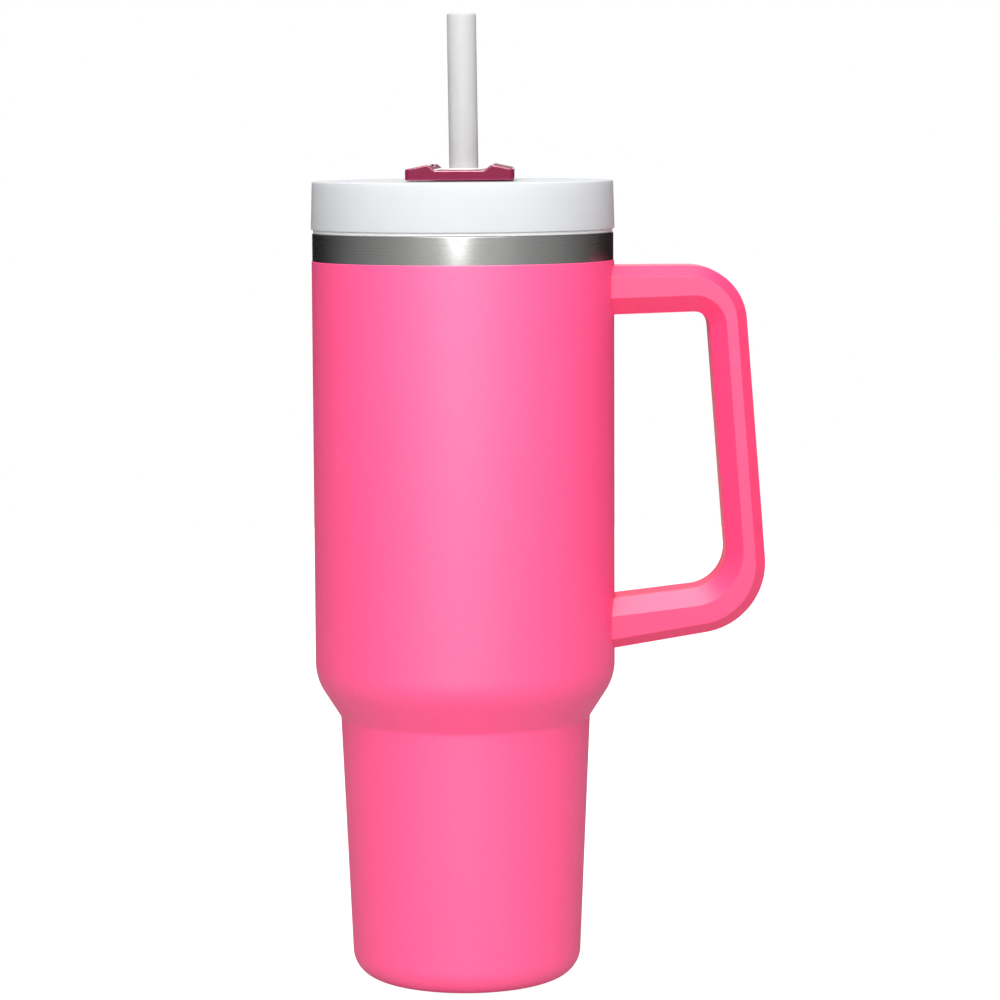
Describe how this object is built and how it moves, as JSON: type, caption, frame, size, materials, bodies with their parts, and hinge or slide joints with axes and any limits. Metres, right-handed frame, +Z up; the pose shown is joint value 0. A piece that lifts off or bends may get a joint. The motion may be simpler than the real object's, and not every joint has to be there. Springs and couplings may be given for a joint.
{
  "type": "insulated tumbler",
  "caption": "Double-walled steel tumbler with a stepped cup-holder foot, side handle, screw-on lid, rotating drink cover and a straight straw.",
  "frame": {"origin": "centre of the base ring that the tumbler stands on, on the tumbler's axis", "axes": "+Z up along the tumbler's axis, +X towards the handle, -Y towards a viewer who sees the handle on the right"},
  "size_m": [0.1458, 0.0976, 0.3124],
  "materials": {
    "coat": "powder coat with a fine satin texture",
    "steel": "bare stainless steel, brushed round the axis",
    "foil": "thin reflective foil",
    "seal_glass": "fused glass bead",
    "getter": "pressed powder tablet",
    "handle_plastic": "satin moulded plastic",
    "grip_rubber": "matt soft grip",
    "screw_steel": "bright zinc",
    "lid_plastic": "white, satin gloss",
    "plug_plastic": "white, moulded",
    "silicone": "translucent white silicone",
    "cover_plastic": "deep burgundy, glossy",
    "straw_plastic": "frosted translucent"
  },
  "bodies": {
    "tumbler": {"outer_shell": "coat", "rim_band": "steel", "inner_liner": "steel", "mouth_thread": "steel", "liner_foil": "foil", "outer_base": "steel", "vacuum_seal": "seal_glass", "base_cover": "steel", "vacuum_getter": "getter", "getter_clip": "steel", "handle_frame": "handle_plastic", "handle_grip": "grip_rubber", "handle_bracket_upper": "steel", "handle_bracket_lower": "steel", "handle_screws": "screw_steel"},
    "gasket": {"lid_gasket": "silicone"},
    "lid": {"lid_cap": "lid_plastic", "lid_plug": "plug_plastic", "drink_core": "plug_plastic"},
    "cover": {"rotating_cover": "cover_plastic", "cover_seal": "silicone", "cover_retainer": "plug_plastic", "hub_oring": "silicone", "straw_grommet": "silicone"},
    "straw": {"straw": "straw_plastic"}
  },
  "joints": [
    {"name": "lid_lift", "type": "slide", "parent": "tumbler", "child": "gasket", "axis": [0, 0, 1], "range_m": [0, 0.01601]},
    {"name": "lid_unscrew", "type": "hinge", "parent": "gasket", "child": "lid", "pos_m": [0, 0, 0.2438], "axis": [0, 0, 1], "range_deg": [0, 720]},
    {"name": "cover_turn", "type": "hinge", "parent": "lid", "child": "cover", "pos_m": [0, 0, 0.2596], "axis": [0, 0, 1], "range_deg": [-90, 0]},
    {"name": "straw_pull", "type": "slide", "parent": "cover", "child": "straw", "axis": [-0.0105, 0, 0.9999], "range_m": [0, 0.26]}
  ],
  "couplings": [
    {"joint": "lid_lift", "follows": "lid_unscrew", "m_per_rad": 0.0012732}
  ]
}
